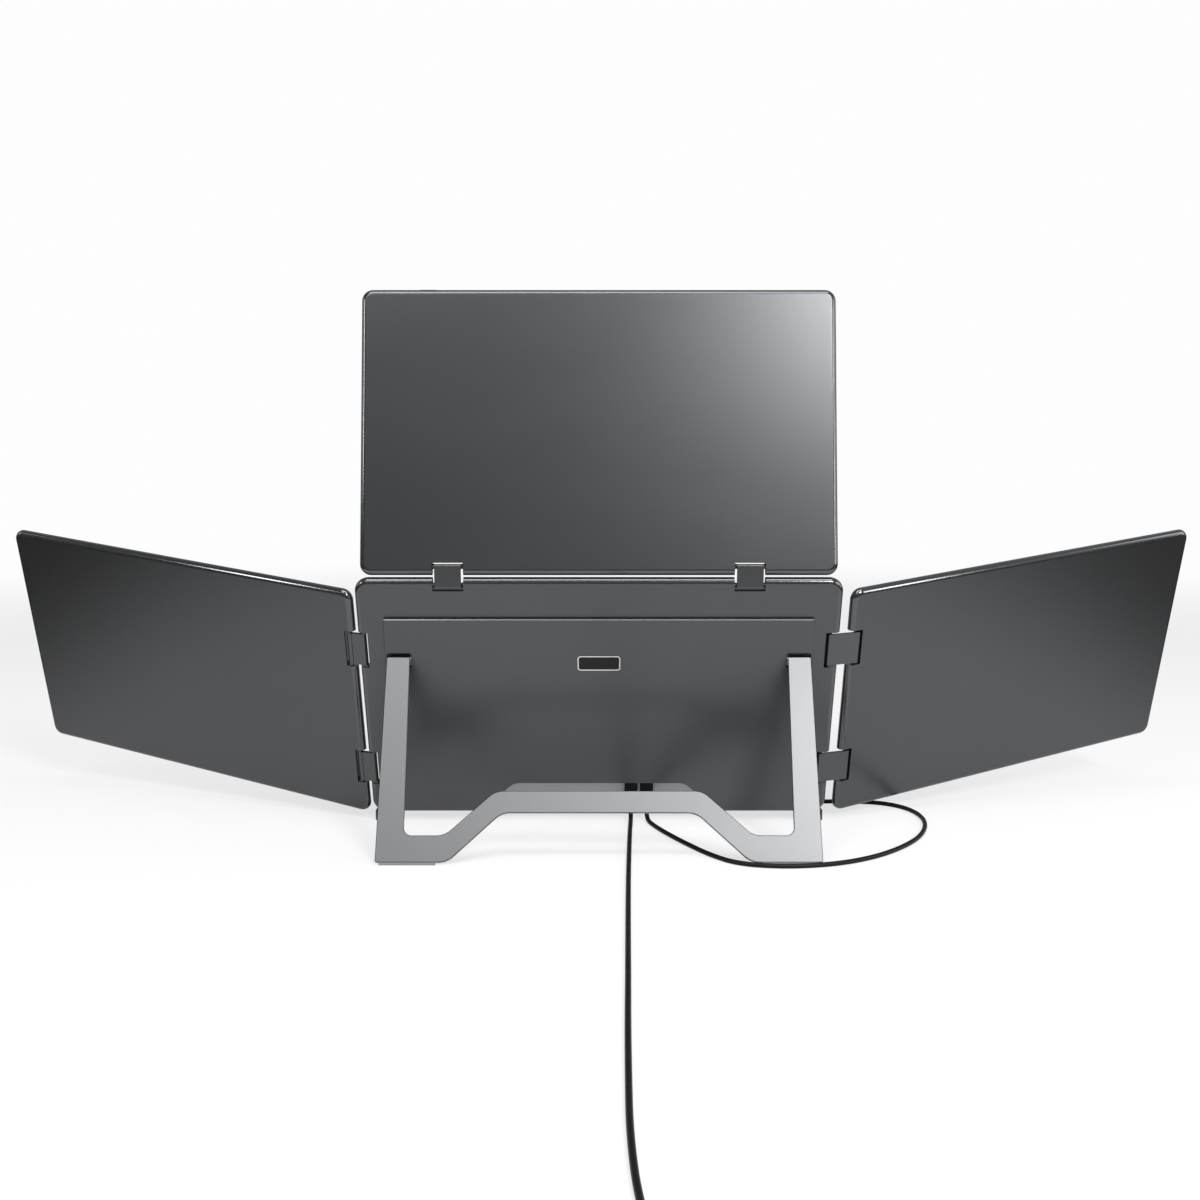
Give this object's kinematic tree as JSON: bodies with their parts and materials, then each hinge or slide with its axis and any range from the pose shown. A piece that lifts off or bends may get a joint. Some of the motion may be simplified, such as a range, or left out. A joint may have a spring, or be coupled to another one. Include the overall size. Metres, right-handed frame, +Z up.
{
  "type": "laptop screen extender",
  "caption": "Folding screens on a leaning centre panel with a fold-out stand; they widen a laptop's display to the sides and above.",
  "frame": {"origin": "on the table, below the middle of the centre panel's lower edge and between the stand's feet and the side screens' outer corners", "axes": "+Z up, +X to the user's right along the three lower panels, +Y away from the user, the screens face -Y"},
  "size_m": [0.9976, 0.7497, 0.4217],
  "materials": {
    "dark_shell": "satin anodised, dark grey",
    "black_bezel": "fine matt moulding",
    "display_glass": "glossy dark cover",
    "display_module": "sheet metal back and film stack",
    "circuit_board": "solder mask",
    "steel": "plated steel",
    "rubber": "matt",
    "key_plastic": "fine matt",
    "link_metal": "satin, dark grey",
    "silver": "satin anodised, silver grey",
    "badge_rim": "bright edge",
    "badge_black": "smooth black, bare",
    "plug_plastic": "matt moulding",
    "cord_jacket": "soft flexible jacket"
  },
  "bodies": {
    "centre_panel": {"centre_rear_shell": "dark_shell", "centre_front_cover": "black_bezel", "raised_back_plate": "dark_shell", "port_bay_plate": "silver", "badge_frame": "badge_rim", "badge_plate": "badge_black", "usb_c_sockets": "steel", "main_board": "circuit_board", "centre_hinge_brackets": "steel", "centre_hinge_pins": "steel", "laptop_lid_pads": "rubber", "cover_screws": "steel", "panel_feet": "rubber", "stand_hinge_brackets": "steel", "stand_hinge_pins": "steel", "power_cord_plug": "plug_plastic", "power_cord_tube": "cord_jacket", "power_cord_coil": "cord_jacket", "power_cord_far_plug": "plug_plastic", "signal_cord_plug": "plug_plastic", "signal_cord_tube": "cord_jacket", "signal_cord_coil": "cord_jacket", "signal_cord_far_plug": "plug_plastic"},
    "right_links": {"right_hinge_links": "link_metal"},
    "right_screen": {"right_rear_shell": "dark_shell", "right_front_bezel": "black_bezel", "right_cover_glass": "display_glass", "right_lcd_module": "display_module", "right_driver_board": "circuit_board", "right_hinge_brackets": "steel", "right_hinge_pins": "steel", "right_bumpers": "rubber"},
    "right_key": {"right_power_key": "key_plastic"},
    "top_links": {"top_hinge_links": "link_metal"},
    "top_screen": {"top_rear_shell": "dark_shell", "top_front_bezel": "black_bezel", "top_cover_glass": "display_glass", "top_lcd_module": "display_module", "top_driver_board": "circuit_board", "top_hinge_brackets": "steel", "top_hinge_pins": "steel", "top_bumpers": "rubber"},
    "top_key": {"top_power_key": "key_plastic"},
    "left_links": {"left_hinge_links": "link_metal"},
    "left_screen": {"left_rear_shell": "dark_shell", "left_front_bezel": "black_bezel", "left_cover_glass": "display_glass", "left_lcd_module": "display_module", "left_driver_board": "circuit_board", "left_hinge_brackets": "steel", "left_hinge_pins": "steel", "left_bumpers": "rubber"},
    "left_key": {"left_power_key": "key_plastic"},
    "stand": {"stand_frame": "silver", "stand_foot_pads": "rubber"}
  },
  "joints": [
    {"name": "right_inner_hinge", "type": "hinge", "parent": "centre_panel", "child": "right_links", "pos_m": [0.18045, 0.03479, 0.10506], "axis": [0, -0.3173, -0.9483], "range_deg": [-11.25, 78.75]},
    {"name": "right_outer_hinge", "type": "hinge", "parent": "right_links", "child": "right_screen", "pos_m": [0.19261, 0.03249, 0.10583], "axis": [0, -0.3173, -0.9483], "range_deg": [-11.25, 78.75]},
    {"name": "right_key_press", "type": "slide", "parent": "right_screen", "child": "right_key", "axis": [-0.9239, 0.3629, -0.1214], "range_m": [0, 0.0005], "stiffness_N_per_m": 900, "springref_m": -0.0006},
    {"name": "top_inner_hinge", "type": "hinge", "parent": "centre_panel", "child": "top_links", "pos_m": [0, 0.06264, 0.19855], "axis": [1, 0, 0], "range_deg": [-13.5, 76.5]},
    {"name": "top_outer_hinge", "type": "hinge", "parent": "top_links", "child": "top_screen", "pos_m": [0, 0.0639, 0.2129], "axis": [1, 0, 0], "range_deg": [-13.5, 76.5]},
    {"name": "top_key_press", "type": "slide", "parent": "top_screen", "child": "top_key", "axis": [0, 0.1478, -0.989], "range_m": [0, 0.0005], "stiffness_N_per_m": 900, "springref_m": -0.0006},
    {"name": "left_inner_hinge", "type": "hinge", "parent": "centre_panel", "child": "left_links", "pos_m": [-0.177, 0.0317, 0.10609], "axis": [0, 0.3173, 0.9483], "range_deg": [-11.25, 78.75]},
    {"name": "left_outer_hinge", "type": "hinge", "parent": "left_links", "child": "left_screen", "pos_m": [-0.19907, 0.02754, 0.10748], "axis": [0, 0.3173, 0.9483], "range_deg": [-11.25, 78.75]},
    {"name": "left_key_press", "type": "slide", "parent": "left_screen", "child": "left_key", "axis": [0.9239, 0.3629, -0.1214], "range_m": [0, 0.0005], "stiffness_N_per_m": 900, "springref_m": -0.0006},
    {"name": "stand_hinge", "type": "hinge", "parent": "centre_panel", "child": "stand", "pos_m": [0, 0.05106, 0.14048], "axis": [1, 0, 0], "range_deg": [-44.56, 0]}
  ],
  "couplings": [
    {"joint": "right_outer_hinge", "follows": "right_inner_hinge", "ratio": 1},
    {"joint": "top_outer_hinge", "follows": "top_inner_hinge", "ratio": 1},
    {"joint": "left_outer_hinge", "follows": "left_inner_hinge", "ratio": 1}
  ]
}
